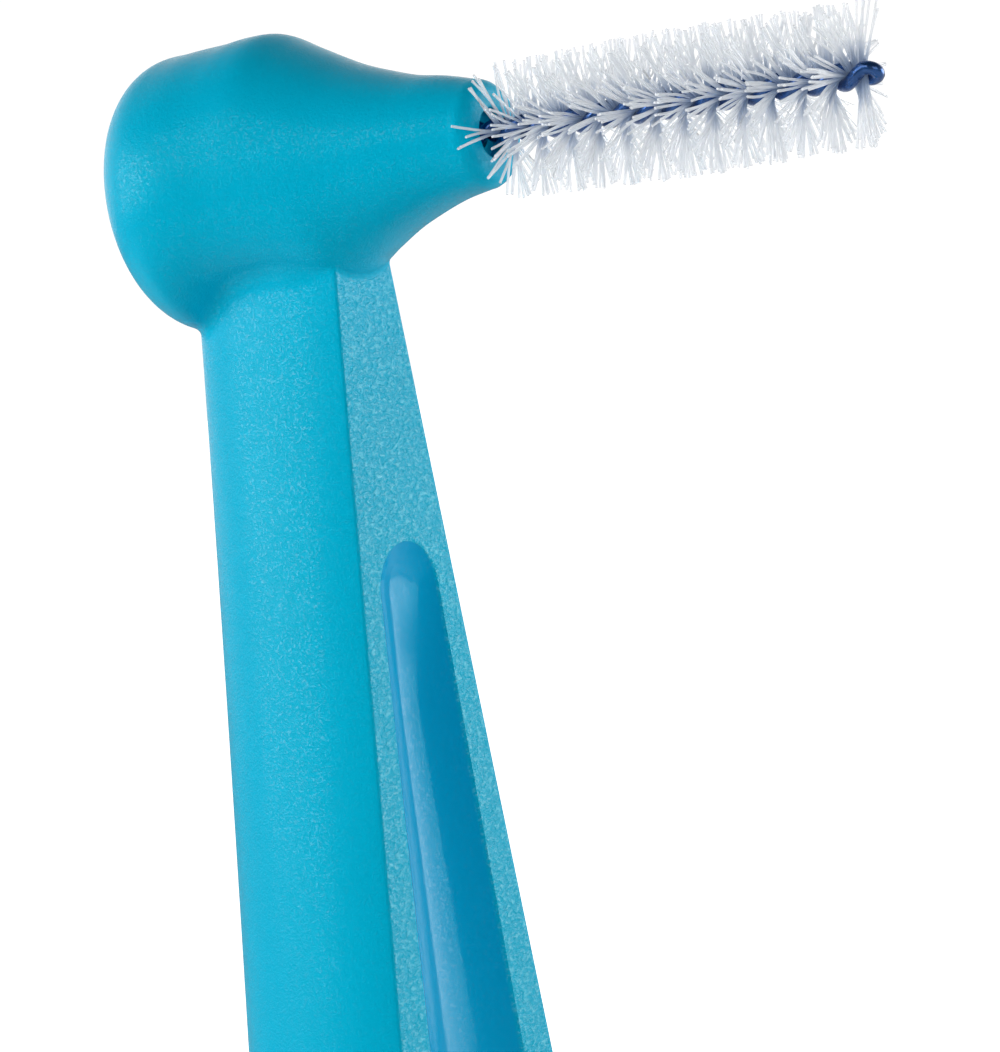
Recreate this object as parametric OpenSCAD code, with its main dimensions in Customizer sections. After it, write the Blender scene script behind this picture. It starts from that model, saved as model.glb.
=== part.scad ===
// Long-handled interdental brush: a slim moulded handle with the brush at a right angle to it.
// Origin at the centre of the flat end, +Z up the handle, +X the way the brush points.

/* [Handle] */
// Height of the brush's axis above the flat end
axis_h = 146; // [130:1:170]
// Width of the neck, level with the brush's axis
neck_w = 2.3; // [2:0.02:2.6]
// Width of the grip
grip_w = 11; // [9:0.5:13]
// Distance below the brush's axis at which the handle reaches its full width
taper_l = 62; // [50:1:75]
// Thickness of the neck, level with the brush's axis
neck_t = 5.56; // [4.8:0.04:5.84]
// Greatest thickness of the handle
swell_t = 7.38; // [6.4:0.02:8]
// Distance below the brush's axis of the greatest thickness
swell_l = 34; // [28:1:44]
// Thickness of the grip close to its end
grip_t = 5.2; // [4.6:0.1:6]
// Width of the flat end
end_w = 5; // [4:0.5:7]
// Thickness of the flat end
end_t = 3.6; // [3:0.1:4.2]
// Length over which the end is rounded
end_l = 8; // [5:0.5:12]
// Radius of the edges beside the flat face
edge_r = 0.1; // [0.06:0.02:0.2]
// How far the widest part lies behind the flat face, as a share of the thickness
widest_share = 0.34; // [0.25:0.01:0.38]
// Squareness of the section: 2 is an ellipse, higher is squarer
section_power = 2.1; // [2:0.1:3]

/* [Groove] */
// Depth of the groove in the flat face
groove_d = 0.7; // [0.4:0.05:1]
// Distance of the groove's upper end below the brush's axis
groove_top = 10.9; // [9:0.1:16]
// Height of the groove's lower end above the flat end
groove_foot = 34; // [24:1:60]

/* [Head] */
// How far the nose reaches ahead of the flat face
nose_reach = 5.05; // [4.6:0.05:5.8]
// How far the head reaches behind the flat face
head_back = 7.3; // [6.8:0.05:7.8]
// Height radius of the head at its dome
head_r = 3.98; // [3.7:0.02:4.3]
// Half width of the head at its widest place
head_side_r = 3.74; // [3.4:0.02:4.2]
// Length of the dome at the rear of the head
dome_l = 2.22; // [1.8:0.02:2.6]
// Distance from the rear of the head to its widest place
side_l = 2.6; // [2.2:0.05:3.2]
// Squareness of the dome: 2 is an ellipse, higher is flatter at the rear
dome_power = 2.3; // [2:0.05:3]
// How far the rear of the dome lies above the dome's centre
dome_rise = 0.38; // [0:0.02:0.6]
// How far the dome's centre lies below the brush's axis
head_drop = 0.42; // [0:0.02:0.6]
// Radius of the nose
nose_r = 1.52; // [1.3:0.02:1.8]
// Radius of the nose's edge
nose_edge_r = 0.45; // [0.3:0.05:0.6]
// Radius of the recess round the wire
recess_r = 0.68; // [0.6:0.02:0.85]
// Depth of the recess round the wire
recess_d = 0.5; // [0.3:0.05:0.9]

/* [Wire] */
// Length of the brush, from the nose to the tip of the wire
brush_l = 12; // [9:0.5:15]
// Length of the wire held in the head
held_l = 4; // [3:0.25:5]
// Diameter of the bare wire
core_d = 0.22; // [0.18:0.01:0.24]
// Thickness of the coating on the wire
coat_t = 0.07; // [0.04:0.005:0.08]
// Length of one full turn of the twisted wire
twist_pitch = 1.78; // [1.6:0.02:2.2]
// Turn of the fold at the tip, from level
fold_turn = 140; // [0:5:355]
// How far the strands spread at the fold
fold_spread = 0.03; // [0:0.01:0.1]
// Length over which they spread
fold_l = 1.1; // [0.8:0.1:1.6]

/* [Bristles] */
// Number of filaments, each of which makes two bristles
filament_count = 200; // [160:1:240]
// Thickness of the layer of filaments between the wires
layer_t = 0.06; // [0.04:0.005:0.08]
// Distance from the axis to the bristles' tips at the nose
bristle_root_r = 1.86; // [1.5:0.05:2.2]
// The same at the middle of the brush
bristle_mid_r = 2; // [1.5:0.05:2.2]
// The same at the tip
bristle_tip_r = 1.9; // [1.5:0.05:2.2]
// Distance from the nose to the first bristle
bristle_start = 0.12; // [0.05:0.01:0.4]
// Distance from the last bristle to the tip of the wire
bristle_end = 0.55; // [0.5:0.05:1]

/* [Hidden] */
body_colour = [0.0, 0.7, 0.84];
steel_colour = [0.75, 0.76, 0.78];
coat_colour = [0.05, 0.13, 0.3];
nylon_colour = [0.88, 0.91, 0.94];

// Overrun of cuts
over = 0.4;
// Gap between the coated wire and its socket
socket_gap = 0.02;
// Shares of the width's and the thickness's growth that are straight, and what is reached there
taper_straight_share = 0.42;
taper_reached_share = 0.694;
swell_straight_share = 0.72;
swell_reached_share = 0.88;
// Share of the flat face's width that the groove takes
groove_w_share = 0.62;
// Share of the groove's width over which its ends are rounded
groove_end_share = 1.1;
// Squareness of the groove's floor
floor_power = 2.2;
// Places along the head, and how much of the step from nose to dome its top, underside and sides have there
top_shares = [[0, 1], [0.09, 1.015], [0.18, 1.02], [0.26, 1.034], [0.34, 0.998], [0.43, 0.81], [0.51, 0.636],
    [0.6, 0.455], [0.7, 0.3], [0.8, 0.172], [0.9, 0.097], [1, 0]];
under_shares = [[0, 1], [0.06, 0.85], [0.13, 0.64], [0.2, 0.56], [0.3, 0.57], [0.4, 0.64], [0.51, 0.685],
    [0.6, 0.512], [0.7, 0.322], [0.8, 0.184], [0.9, 0.072], [1, 0]];
side_shares = [[0, 1], [0.25, 0.793], [0.45, 0.613], [0.6, 0.455], [0.75, 0.303], [0.88, 0.151], [1, 0]];
// Share of a bristle's width left at its tip
bristle_taper_share = 0.7;
// Length of the fold's round end as a share of its radius
fold_round_share = 1.2;

// Numbers of facets
side_steps = 26;
edge_steps = 3;
handle_steps = 30;
end_steps = 8;
floor_steps = 12;
groove_steps = 20;
head_sides = 36;
dome_steps = 8;
head_steps = 26;
nose_steps = 4;
turn_steps = 10;
bend_steps = 8;
tube_sides = 6;

// Derived places
face_x = end_t / 2;
nose_x = face_x + nose_reach;
dome_x = face_x - head_back + dome_l;
widest_x = face_x - head_back + side_l;
strand_r = core_d / 2 + coat_t;
strand_off = strand_r + layer_t / 2;
socket_r = strand_off + strand_r + socket_gap;
neck_top_z = axis_h - socket_r - edge_r * 2;
fold_r = strand_off + fold_spread;
bend_s = brush_l - strand_r - fold_r * fold_round_share;

// A rise from 0 to 1 that is straight up to share a, where it has reached share b, then eases to level
function eased_rise(u, a, b) = u <= a ? u * b / a
    : u >= 1 ? 1
    : b + (1 - b) * (1 - pow(1 - (u - a) / (1 - a), (b / a) * (1 - a) / (1 - b)));
function smooth(u) = let(v = min(1, max(0, u))) v * v * (3 - 2 * v);

// Smooth curve through a table of shares
function slope_at(t, i) = i == 0 ? 0
    : i == len(t) - 1 ? (t[i][1] - t[i - 1][1]) / (t[i][0] - t[i - 1][0])
    : (t[i + 1][1] - t[i - 1][1]) / (t[i + 1][0] - t[i - 1][0]);
function segment_of(t, s, i = 0) = i >= len(t) - 2 || s <= t[i + 1][0] ? i : segment_of(t, s, i + 1);
function curve_at(t, s) = let(i = segment_of(t, s), w = t[i + 1][0] - t[i][0], u = (s - t[i][0]) / w)
    t[i][1] * (1 + 2 * u) * (1 - u) * (1 - u) + slope_at(t, i) * w * u * (1 - u) * (1 - u)
    + t[i + 1][1] * u * u * (3 - 2 * u) + slope_at(t, i + 1) * w * u * u * (u - 1);

// Half width and thickness of the handle at a height
function half_w(z) = neck_w / 2 + (grip_w - neck_w) / 2
    * eased_rise((axis_h - z) / taper_l, taper_straight_share, taper_reached_share);
function thick(z) = let(d = axis_h - z) d < swell_l
    ? neck_t + (swell_t - neck_t) * eased_rise(d / swell_l, swell_straight_share, swell_reached_share)
    : swell_t + (grip_t - swell_t) * smooth((d - swell_l) / (axis_h - swell_l));

// Closed body through rings of points, each ring anticlockwise seen from the last one
module skin(rings) {
    n = len(rings[0]);
    m = len(rings);
    polyhedron(
        points = [for (r = rings) each r],
        faces = concat(
            [for (i = [1 : n - 2]) [0, i, i + 1]],
            [for (i = [1 : n - 2]) [(m - 1) * n, (m - 1) * n + i + 1, (m - 1) * n + i]],
            [for (j = [0 : m - 2], i = [0 : n - 1]) each let(k = (i + 1) % n,
                a = j * n + i, b = j * n + k, c = a + n, d = b + n) [[a, c, b], [b, c, d]]]),
        convexity = 10);
}

// Section of the handle: an oval with its front cut off by the flat face, and small round edges
function width_share(u) = pow(1 - pow(u, section_power), 1 / section_power);
face_w_share = width_share(widest_share / (1 - widest_share));
function side_point(q, w, t) = let(
    r = pow(pow(abs(cos(q)), section_power) + pow(abs(sin(q)), section_power), -1 / section_power))
    [face_x - t * widest_share - t * (1 - widest_share) * cos(q) * r, w * sin(q) * r];
function edge_turn(t) = let(u = (widest_share * t - edge_r) / ((1 - widest_share) * t)) atan2(width_share(u), -u);
function edge_point(s, side, w, t) = let(a = side_point(edge_turn(t), w, t), c = face_w_share * w, b = 1 - s)
    [a[0] * b * b + face_x * (1 - b * b), side * (a[1] * b * b + c * (1 - b * b) - edge_r * s * s)];
function section(w, t) = concat(
    [for (i = [0 : side_steps]) side_point(edge_turn(t) * (1 - 2 * i / side_steps), w, t)],
    [for (i = [1 : edge_steps - 1]) edge_point(i / edge_steps, -1, w, t)],
    [for (side = [-1, 1]) [face_x + over, side * (face_w_share * w - edge_r)]],
    [for (i = [edge_steps - 1 : -1 : 1]) edge_point(i / edge_steps, 1, w, t)]);
function lift(outline, z) = [for (p = outline) [p[0], p[1], z]];

module handle_body() {
    low = [for (i = [0 : end_steps]) let(q = 90 - 90 * i / end_steps, z = end_l * (1 - sin(q)))
        lift(section(end_w / 2 + (half_w(z) - end_w / 2) * cos(q), end_t + (thick(z) - end_t) * cos(q)), z)];
    high = [for (i = [1 : handle_steps]) let(z = end_l + (neck_top_z - end_l) * i / handle_steps)
        lift(section(half_w(z), thick(z)), z)];
    foot = lift(section(end_w / 2, end_t), -over);
    skin(concat([foot], low, high));
}

// Solid that cuts the groove: a shallow round floor, rounded at both ends
function groove_half_w(z) = groove_w_share * face_w_share * half_w(z);
function groove_ring(z, size) = let(share = max(size, edge_r / end_w), g = groove_half_w(z) * share,
    d = groove_d * share)
    concat([for (i = [0 : floor_steps]) let(u = 1 - 2 * i / floor_steps)
            [face_x - d * (1 - pow(abs(u), floor_power)), g * u, z]],
        [for (side = [-1, 1]) [face_x + over, side * g, z]]);
module groove_cut() {
    top = axis_h - groove_top;
    top_l = groove_end_share * groove_half_w(top);
    foot_l = groove_end_share * groove_half_w(groove_foot);
    skin(concat(
        [for (i = [0 : end_steps]) let(q = 90 * i / end_steps)
            groove_ring(groove_foot + foot_l * (1 - cos(q)), sin(q))],
        [for (i = [1 : groove_steps - 1])
            groove_ring(groove_foot + foot_l + (top - top_l - groove_foot - foot_l) * i / groove_steps, 1)],
        [for (i = [end_steps : -1 : 0]) let(q = 90 * i / end_steps) groove_ring(top - top_l * (1 - cos(q)), sin(q))]));
}

// Ring of the head: its top, underside and sides have radii of their own
function head_ring(x, drop, top_r, under_r, side_r) = [for (i = [0 : head_sides - 1])
    let(q = 360 * i / head_sides, up = sin(q), r = side_r + ((up > 0 ? top_r : under_r) - side_r) * up * up)
    [x, r * cos(q), axis_h - drop + r * sin(q)]];
function head_radius(table, s) = nose_r + (head_r - nose_r) * curve_at(table, s);
// Radius of the dome as a share, at share b of its length behind its centre
function dome_round(b) = sqrt(1 - pow(min(1, b), dome_power));
function head_side(x) = x < widest_x ? head_side_r * dome_round((widest_x - x) / side_l)
    : nose_r + (head_side_r - nose_r) * curve_at(side_shares, (x - widest_x) / (nose_x - nose_edge_r - widest_x));
module head_body() {
    run = nose_x - nose_edge_r - dome_x;
    skin(concat(
        [for (i = [1 : dome_steps - 1]) let(b = cos(90 * i / dome_steps), x = dome_x - dome_l * b)
            head_ring(x, head_drop - dome_rise * b * b, head_r * dome_round(b), head_r * dome_round(b), head_side(x))],
        [for (i = [0 : head_steps]) let(s = i / head_steps, x = dome_x + run * s)
            head_ring(x, head_drop * (1 - smooth(s)), head_radius(top_shares, s), head_radius(under_shares, s),
                head_side(x))],
        [for (i = [1 : nose_steps]) let(q = 90 * i / nose_steps, r = nose_r - nose_edge_r * (1 - cos(q)))
            head_ring(nose_x - nose_edge_r * (1 - sin(q)), 0, r, r, r)]));
}

// Lies along +X with its centre line on the brush's axis, from the nose backwards
module socket(r, depth) translate([nose_x - depth, 0, axis_h]) rotate([0, 90, 0])
    cylinder(r = r, h = depth + over, $fn = 48);

module handle() color(body_colour) difference() {
    union() {
        difference() {
            handle_body();
            translate([face_x, -grip_w, -over * 2]) cube([over * 2, grip_w * 2, axis_h]);
            translate([-grip_w, -grip_w, -over * 2]) cube([grip_w * 2, grip_w * 2, over * 2]);
            groove_cut();
        }
        head_body();
    }
    socket(recess_r, recess_d);
    socket(socket_r, held_l);
}

// Route of the doubled, twisted wire: up one strand, round the bend at the tip and back down the other
function twist_dir(s) = let(q = fold_turn + 360 * (bend_s - s) / twist_pitch) [0, cos(q), sin(q)];
function strand_at(s) = strand_off + fold_spread * smooth((s - brush_l + fold_l) / fold_l);
function brush_point(s, off, dir) = [nose_x + s, 0, axis_h] + off * dir;
strand_count = round(turn_steps * (held_l + bend_s) / twist_pitch);
strand_s = [for (i = [0 : strand_count]) -held_l + (held_l + bend_s) * i / strand_count];
bend_q = [for (i = [1 : bend_steps - 1]) 180 * i / bend_steps];
route = concat(
    [for (s = strand_s) [brush_point(s, strand_at(s), twist_dir(s)), twist_dir(s)]],
    [for (q = bend_q) let(e = twist_dir(bend_s))
        [brush_point(bend_s + fold_r * fold_round_share * sin(q), strand_at(bend_s) * cos(q), e),
            cos(q) * e + [sin(q), 0, 0]]],
    [for (i = [strand_count : -1 : 0]) let(s = strand_s[i], e = -twist_dir(s))
        [brush_point(s, strand_at(s), e), e]]);
function unit(v) = v / norm(v);
function route_dir(i) = unit(route[min(i + 1, len(route) - 1)][0] - route[max(i - 1, 0)][0]);
function route_ring(i, r) = let(t = route_dir(i), a = route[i][1], n = unit(a - (a * t) * t), b = cross(t, n))
    [for (k = [0 : tube_sides - 1]) let(q = 360 * (k + 1 / 2) / tube_sides)
        route[i][0] + r * (cos(q) * n + sin(q) * b)];

module wire_core() color(steel_colour) skin([for (i = [0 : len(route) - 1]) route_ring(i, core_d / 2)]);

// Hollow tube along the route, its inside meeting the bare wire
module wire_coating() color(coat_colour) {
    m = len(route);
    n = tube_sides;
    outer = [for (i = [0 : m - 1]) each route_ring(i, strand_r)];
    inner = [for (i = [0 : m - 1]) each route_ring(i, core_d / 2)];
    w = m * n;
    polyhedron(
        points = concat(outer, inner),
        faces = concat(
            [for (j = [0 : m - 2], i = [0 : n - 1]) each let(k = (i + 1) % n,
                a = j * n + i, b = j * n + k, c = a + n, d = b + n)
                [[a, c, b], [b, c, d], [w + a, w + b, w + c], [w + b, w + d, w + c]]],
            [for (i = [0 : n - 1]) each let(k = (i + 1) % n, z = (m - 1) * n)
                [[i, k, w + i], [k, w + k, w + i], [z + i, w + z + i, z + k], [z + k, w + z + i, w + z + k]]]),
        convexity = 10);
}

// Filaments: a thin layer twisted between the strands, each step of which carries a bristle on either side
function bristle_reach(s) = let(u = s / brush_l) u < 1 / 2
    ? bristle_root_r + (bristle_mid_r - bristle_root_r) * smooth(2 * u)
    : bristle_mid_r + (bristle_tip_r - bristle_mid_r) * smooth(2 * u - 1);
module filaments() color(nylon_colour) {
    run = brush_l - bristle_start - bristle_end;
    step = run / filament_count;
    n = filament_count;
    shoulder = strand_off + strand_r * cos(60);
    // Four corners of the layer at each step
    layer = [for (i = [0 : n]) let(s = bristle_start + step * i, e = twist_dir(s), f = cross([1, 0, 0], e))
        each [for (c = [[1, -1], [1, 1], [-1, 1], [-1, -1]]) brush_point(s, 1, shoulder * c[0] * f + layer_t / 2 * c[1] * e)]];
    // Four corners of each bristle's tip, both sides of each step
    tips = [for (i = [0 : n - 1], side = [1, -1]) let(s = bristle_start + step * (i + 1 / 2), e = twist_dir(s),
            f = cross([1, 0, 0], e), h = bristle_taper_share / 2)
        each [for (c = [[-1, -1], [-1, 1], [1, 1], [1, -1]])
            brush_point(s + h * step * c[0], 1, side * bristle_reach(s) * f + h * layer_t * side * c[1] * e)]];
    base = 4 * (n + 1);
    polyhedron(
        points = concat(layer, tips),
        faces = concat(
            [[0, 2, 1], [0, 3, 2], [4 * n, 4 * n + 1, 4 * n + 2], [4 * n, 4 * n + 2, 4 * n + 3]],
            [for (i = [0 : n - 1]) each let(a = 4 * i)
                [[a + 1, a + 2, a + 5], [a + 2, a + 6, a + 5], [a + 3, a, a + 7], [a, a + 4, a + 7]]],
            [for (i = [0 : n - 1], k = [0, 1]) each let(a = 4 * i, t = base + 8 * i + 4 * k,
                q = k == 0 ? [a, a + 1, a + 5, a + 4] : [a + 2, a + 3, a + 7, a + 6])
                concat([for (m = [0 : 3]) each let(p = (m + 1) % 4)
                    [[q[m], q[p], t + m], [q[p], t + p, t + m]]],
                    [[t, t + 2, t + 3], [t, t + 1, t + 2]])]),
        convexity = 10);
}

handle();
wire_core();
wire_coating();
filaments();
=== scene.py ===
import math
import random

import bmesh
import bpy
import numpy as np
from mathutils import Matrix, Vector


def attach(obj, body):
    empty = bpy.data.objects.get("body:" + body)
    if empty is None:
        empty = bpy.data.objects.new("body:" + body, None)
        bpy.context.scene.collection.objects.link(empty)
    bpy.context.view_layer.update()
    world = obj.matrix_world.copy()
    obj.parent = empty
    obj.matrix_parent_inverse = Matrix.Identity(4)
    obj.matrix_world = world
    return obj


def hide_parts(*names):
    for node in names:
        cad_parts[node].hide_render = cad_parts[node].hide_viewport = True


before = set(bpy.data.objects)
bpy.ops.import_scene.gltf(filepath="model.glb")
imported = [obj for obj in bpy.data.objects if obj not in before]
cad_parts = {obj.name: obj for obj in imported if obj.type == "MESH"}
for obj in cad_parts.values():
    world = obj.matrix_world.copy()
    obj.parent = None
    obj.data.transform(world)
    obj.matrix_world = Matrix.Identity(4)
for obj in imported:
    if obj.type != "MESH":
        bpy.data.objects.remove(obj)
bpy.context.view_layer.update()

bl_info = {
    "name": "Interdental Brush",
    "version": (1, 0, 0),
    "blender": (4, 5, 0),
    "location": "3D Viewport > Sidebar > Brush",
    "description": "Moulded handle, coated wire and nylon filaments of a small interdental brush",
    "category": "Add Mesh",
}

MM = 0.001
BODY = "root"


# Settings

def length(name, description, millimetres):
    """Property for a length, shown in the scene's own unit"""
    return bpy.props.FloatProperty(name=name, description=description, default=millimetres * MM,
                                   min=0.0, precision=6, unit="LENGTH", subtype="DISTANCE")


def turn(name, description, degrees):
    """Property for an angle"""
    return bpy.props.FloatProperty(name=name, description=description, default=math.radians(degrees),
                                   unit="ROTATION", subtype="ANGLE")


def share(name, description, value):
    """Property for a share of another size, or a plain factor"""
    return bpy.props.FloatProperty(name=name, description=description, default=value)


def colour(name, description, red, green, blue):
    """Property for a colour in linear light"""
    return bpy.props.FloatVectorProperty(name=name, description=description, size=3, min=0.0, max=1.0,
                                         default=(red, green, blue), subtype="COLOR")


class HandleSizes(bpy.types.PropertyGroup):
    """Sizes of the handle and its groove"""

    axis_height: length("Axis height", "Height of the brush's axis above the flat end", 146)
    face_x: length("Face", "Distance of the flat face ahead of the origin", 1.8)
    neck_width: length("Neck width", "Width of the neck level with the brush's axis", 2.3)
    grip_width: length("Grip width", "Full width of the handle", 11)
    taper_length: length("Taper length", "Distance below the axis at which the full width is reached", 62)
    neck_thickness: length("Neck thickness", "Thickness level with the brush's axis", 5.56)
    swell_thickness: length("Swell thickness", "Greatest thickness", 7.38)
    swell_length: length("Swell length", "Distance of the greatest thickness below the axis", 34)
    grip_thickness: length("Grip thickness", "Thickness of the grip at its end, before that is rounded", 5.2)
    end_width: length("End width", "Width of the flat end", 5)
    end_thickness: length("End thickness", "Thickness of the flat end", 3.6)
    end_length: length("End length", "Length over which the end is rounded", 8)
    edge_radius: length("Edge radius", "Radius of the edges beside the flat face", 0.07)
    widest_share: share("Widest place", "How far it lies behind the face, as a share of the thickness", 0.34)
    section_power: share("Squareness", "2 is an ellipse, higher is squarer", 2.1)
    taper_straight: share("Taper straight", "Share of the taper that is straight", 0.42)
    taper_reached: share("Taper reached", "Share of the width's growth reached there", 0.694)
    swell_straight: share("Swell straight", "Share of the swell that is straight", 0.72)
    swell_reached: share("Swell reached", "Share of the swell's growth reached there", 0.88)
    groove_share: share("Groove width", "Share of the flat face's width that the groove takes", 0.62)
    groove_top: length("Groove top", "Distance of the groove's upper end below the axis", 10.9)
    groove_foot: length("Groove foot", "Height of the groove's lower end", 34)
    groove_depth: length("Groove depth", "Full depth of the groove", 0.7)
    groove_start: length("Groove start depth", "Depth of the groove just below its upper end", 0.26)
    groove_run: length("Groove run", "Length over which the groove reaches its full depth", 5)
    side_fillet: length("Side fillet", "Fillet between the head and the neck's sides", 0.6)
    small_fillet: length("Small fillet", "Fillet between the head and the neck's front and back", 0.16)


class HeadSizes(bpy.types.PropertyGroup):
    """Sizes of the head"""

    nose_reach: length("Nose reach", "How far the nose reaches ahead of the flat face", 5.05)
    back_reach: length("Back reach", "How far the head reaches behind the flat face", 7.3)
    radius: length("Radius", "Height radius of the head at its dome", 3.98)
    side_radius: length("Side radius", "Half width of the head at its widest place", 3.74)
    dome_length: length("Dome length", "Length of the dome at the rear", 2.22)
    side_length: length("Side length", "Distance from the rear to the widest place", 2.6)
    dome_power: share("Dome squareness", "2 is an ellipse, higher is flatter at the rear", 2.3)
    dome_rise: length("Dome rise", "How far the rear of the dome lies above the dome's centre", 0.38)
    drop: length("Drop", "How far the dome's centre lies below the brush's axis", 0.42)
    nose_radius: length("Nose radius", "Radius of the nose", 1.52)
    nose_edge: length("Nose edge", "Radius of the nose's edge", 0.45)
    recess_radius: length("Recess radius", "Radius of the recess round the wire", 0.68)
    recess_depth: length("Recess depth", "Depth of the recess round the wire", 0.5)
    recess_edge: length("Recess edge", "Radius of the recess's edge", 0.06)
    socket_radius: length("Socket radius", "Radius of the hole that holds the wire", 0.39)
    socket_depth: length("Socket depth", "Depth of that hole that is modelled", 0.9)


class WireSizes(bpy.types.PropertyGroup):
    """Sizes of the coated wire"""

    brush_length: length("Brush length", "Length from the nose to the tip of the wire", 12)
    held_length: length("Held length", "Length of the wire held in the head", 4)
    strand_radius: length("Strand radius", "Radius of one coated strand", 0.18)
    strand_offset: length("Strand offset", "Distance of a strand's centre from the axis", 0.21)
    pitch: length("Pitch", "Length of one full turn of the twist", 1.78)
    fold_turn: turn("Fold turn", "Turn of the fold at the tip from level", 140)
    fold_spread: length("Fold spread", "How far the strands spread at the fold", 0.03)
    fold_length: length("Fold length", "Length over which they spread", 1.1)
    fold_round: share("Fold round", "Length of the fold's round end as a share of its radius", 1.2)
    fold_relief: length("Fold relief", "How far the fold stops short of the brush's full length", 0.03)


class FilamentSizes(bpy.types.PropertyGroup):
    """Sizes of the nylon filaments"""

    radius: length("Radius", "Radius of a filament", 0.038)
    step: length("Step", "Distance between one group of filaments and the next", 0.075)
    group: share("Group", "Filaments in a group, away from the nose", 3.8)
    nose_group: share("Nose group", "Filaments in a group at the nose", 1.7)
    group_run: length("Group run", "Distance from the nose over which the groups grow", 3)
    root_reach: length("Root reach", "Distance from the axis to the tips at the nose", 1.88)
    middle_reach: length("Middle reach", "The same at the middle of the brush", 1.98)
    tip_reach: length("Tip reach", "The same at the tip", 1.89)
    start: length("Start", "Distance from the nose to the first filament", 0.12)
    end: length("End", "Distance from the last filament to the tip of the wire", 0.55)
    lean: length("Lean", "How far a group's tips lean along the brush", 0.1)
    splay: length("Splay", "The same for the last groups, pushed apart by the fold", 0.4)
    stray: length("Stray", "How far a filament's tip strays from its group's", 0.06)
    bow: length("Bow", "How far a bristle bows to one side", 0.04)
    scatter: turn("Scatter", "How far a filament turns from its place in the twist", 9)
    seed: bpy.props.IntProperty(name="Seed", description="Start of the random numbers", default=5)


class Finishes(bpy.types.PropertyGroup):
    """Colours of the materials"""

    body: colour("Body", "Cyan plastic of the handle", 0.0, 0.465, 0.7)
    # Paler cyan painted on the peaks of the flat face's grain: a painted sheen
    face_sheen: colour("Frost", "Paler cyan of the grained face", 0.1, 0.6, 0.8)
    # Deeper blue painted in the polished groove: painted shade of that recess
    groove: colour("Groove", "Deeper blue of the polished groove", 0.0, 0.36, 0.66)
    coat: colour("Coat", "Dark blue coating of the wire", 0.005, 0.055, 0.2)
    steel: colour("Steel", "Bare wire", 0.52, 0.53, 0.55)
    nylon: colour("Nylon", "Filaments away from the wire", 0.93, 0.945, 0.96)
    # Painted shade of the filaments close to the wire, tinted blue by it
    nylon_shade: colour("Nylon shade", "Filaments close to the wire", 0.36, 0.46, 0.62)
    floor: colour("Floor", "Floor that the object stands on", 0.9, 0.9, 0.9)


class Studio(bpy.types.PropertyGroup):
    """Camera and light"""

    azimuth: turn("Azimuth", "Direction of the camera, from straight at the near side", 35)
    elevation: turn("Elevation", "Height of the camera above level", 5)
    roll: turn("Roll", "Turn of the camera about its line of sight", -8.18)
    distance: length("Distance", "Distance of the camera from the head", 100)
    aim_x: length("Aim ahead", "Place ahead of the origin that the aim pixel shows", 1.36)
    sensor: bpy.props.FloatProperty(name="Sensor", description="Long side of the sensor in mm", default=36)
    room: share("Room", "Brightness of the room in front of the object", 0.24)
    sweep: share("Sweep", "Brightness of the backdrop behind it", 1.0)
    ceiling: share("Ceiling", "Brightness above and below as a share of that at eye level", 0.3)
    key: share("Key light", "Power of the soft light at the left, in watts", 1.2)
    key_turn: turn("Key turn", "Turn of that light to the left of the camera", 80)
    key_height: turn("Key height", "Height of that light and of the fill light above level", 12)
    light_distance: length("Light distance", "Distance of each light from the head", 450)
    light_width: length("Light width", "Width of each light", 330)
    light_tall: length("Light height", "How tall each light is", 240)
    fill: share("Fill light", "Power of the weak light at the right of the camera, in watts", 0.3)
    fill_turn: turn("Fill turn", "Turn of that light to the right of the camera", 30)
    nose: share("Nose light", "Power of the light above the camera's left, in watts", 0.45)
    nose_turn: turn("Nose turn", "Turn of that light to the left of the camera", 43)
    nose_height: turn("Nose height", "Height of that light above level", 26)
    rim: share("Rim light", "Power of the soft light behind at the right, in watts", 1.0)
    rim_turn: turn("Rim turn", "Turn of that light to the right of the camera", 103)
    rim_height: turn("Rim height", "Height of that light above level", -2)


# Frame of the photograph, in pixels: its size, the place of the aim point and the focal length
FRAME_WIDTH = 1000
FRAME_HEIGHT = 1052
AIM_PIXEL = (334, 158)
FOCAL_PIXELS = 3580


# Shapes in plain numbers

def smooth(u):
    """Smooth step from 0 to 1"""
    v = min(1.0, max(0.0, u))
    return v * v * (3 - 2 * v)


def mix(a, b, t):
    """Value between a and b"""
    return a + (b - a) * t


def eased_rise(u, straight, reached):
    """Rise from 0 to 1 that is straight up to one share, then eases to level"""
    if u <= straight:
        return u * reached / straight
    if u >= 1:
        return 1.0
    power = reached / straight * (1 - straight) / (1 - reached)
    return reached + (1 - reached) * (1 - (1 - (u - straight) / (1 - straight)) ** power)


def slope_at(table, i):
    """Slope of the curve through a table at one of its places"""
    if i == 0:
        return 0.0
    low, high = i - 1, min(i + 1, len(table) - 1)
    return (table[high][1] - table[low][1]) / (table[high][0] - table[low][0])


def curve_at(table, s):
    """Smooth curve through a table of shares"""
    i = 0
    while i < len(table) - 2 and s > table[i + 1][0]:
        i += 1
    w = table[i + 1][0] - table[i][0]
    u = (s - table[i][0]) / w
    return (table[i][1] * (1 + 2 * u) * (1 - u) ** 2 + slope_at(table, i) * w * u * (1 - u) ** 2
            + table[i + 1][1] * u * u * (3 - 2 * u) + slope_at(table, i + 1) * w * u * u * (u - 1))


# Section of the handle

# Columns round the handle: on the face, of these at each side of the groove, at each side of the
# handle, and of these round each edge of the face; the back has as many as the face
FRONT_COLUMNS = 32
LIP_COLUMNS = 6
SIDE_COLUMNS = 48
EDGE_COLUMNS = 6
HANDLE_COLUMNS = 2 * (FRONT_COLUMNS + SIDE_COLUMNS)
GROOVE_COLUMNS = FRONT_COLUMNS - 2 * LIP_COLUMNS
# Least share of the groove's width at its ends
NARROWEST_SHARE = 0.12
# Length of the groove's round ends as a share of its half width
GROOVE_END_SHARE = 1.1
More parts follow.
